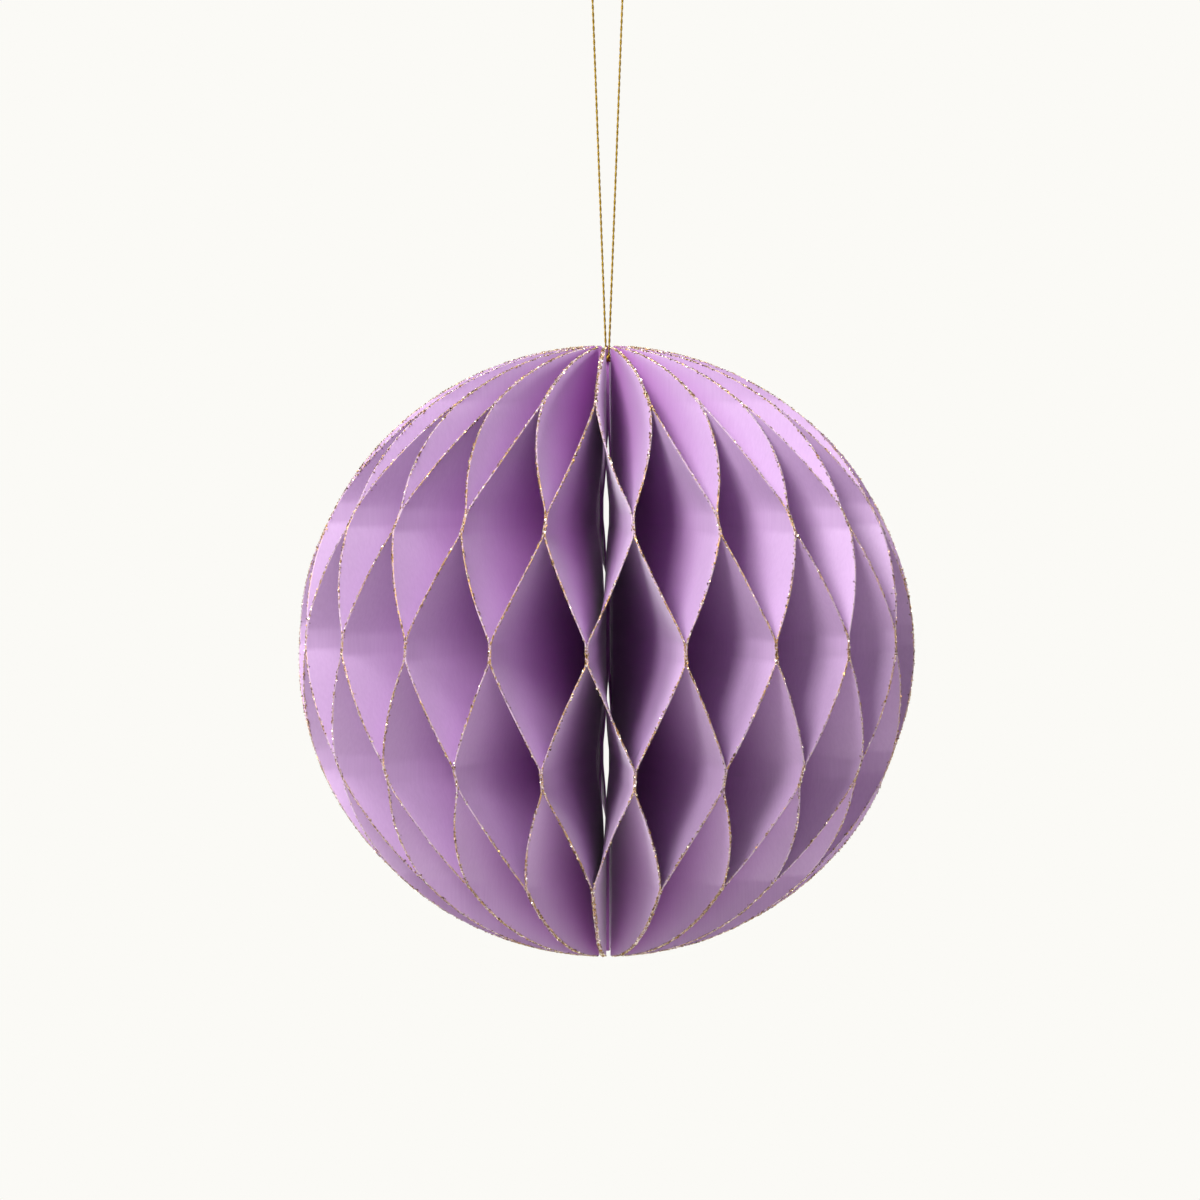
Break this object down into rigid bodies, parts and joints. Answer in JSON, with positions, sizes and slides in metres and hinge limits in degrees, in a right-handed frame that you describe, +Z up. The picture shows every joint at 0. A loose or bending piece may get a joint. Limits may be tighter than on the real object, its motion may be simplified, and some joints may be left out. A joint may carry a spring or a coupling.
{
  "type": "honeycomb paper ball ornament",
  "caption": "Hanging honeycomb ball of folded lilac card leaves with gold glitter edges, on a thin twisted gold cord loop.",
  "frame": {"origin": "centre of the ball, on the axis of its open core and midway between its two poles", "axes": "+Z up along the core towards the hanging loop; -Y out through the plane of the bonded pair of leaves that faces the viewer; X across the gap between the cord's two strands"},
  "size_m": [0.12, 0.12, 0.1916],
  "materials": {
    "leaf_card": "matte lilac card, dyed through, with faint fibres",
    "gold_glitter": "fine gold glitter glued along the leaves' curved edges",
    "gold_cord": "metallised gold thread, two plies twisted"
  },
  "bodies": {
    "root": {"leaf_01": "leaf_card", "leaf_02": "leaf_card", "leaf_03": "leaf_card", "leaf_04": "leaf_card", "leaf_05": "leaf_card", "leaf_06": "leaf_card", "leaf_07": "leaf_card", "leaf_08": "leaf_card", "leaf_09": "leaf_card", "leaf_10": "leaf_card", "leaf_11": "leaf_card", "leaf_12": "leaf_card", "leaf_13": "leaf_card", "leaf_14": "leaf_card", "leaf_15": "leaf_card", "leaf_16": "leaf_card", "leaf_17": "leaf_card", "leaf_18": "leaf_card", "leaf_19": "leaf_card", "leaf_20": "leaf_card", "leaf_21": "leaf_card", "leaf_22": "leaf_card", "leaf_23": "leaf_card", "leaf_24": "leaf_card", "leaf_25": "leaf_card", "leaf_26": "leaf_card", "leaf_27": "leaf_card", "leaf_28": "leaf_card", "leaf_29": "leaf_card", "leaf_30": "leaf_card", "leaf_31": "leaf_card", "leaf_32": "leaf_card", "leaf_33": "leaf_card", "leaf_34": "leaf_card", "leaf_35": "leaf_card", "leaf_36": "leaf_card", "leaf_37": "leaf_card", "leaf_38": "leaf_card", "leaf_39": "leaf_card", "leaf_40": "leaf_card", "hanging_cord": "gold_cord", "cord_knot": "gold_cord"}
  },
  "joints": []
}
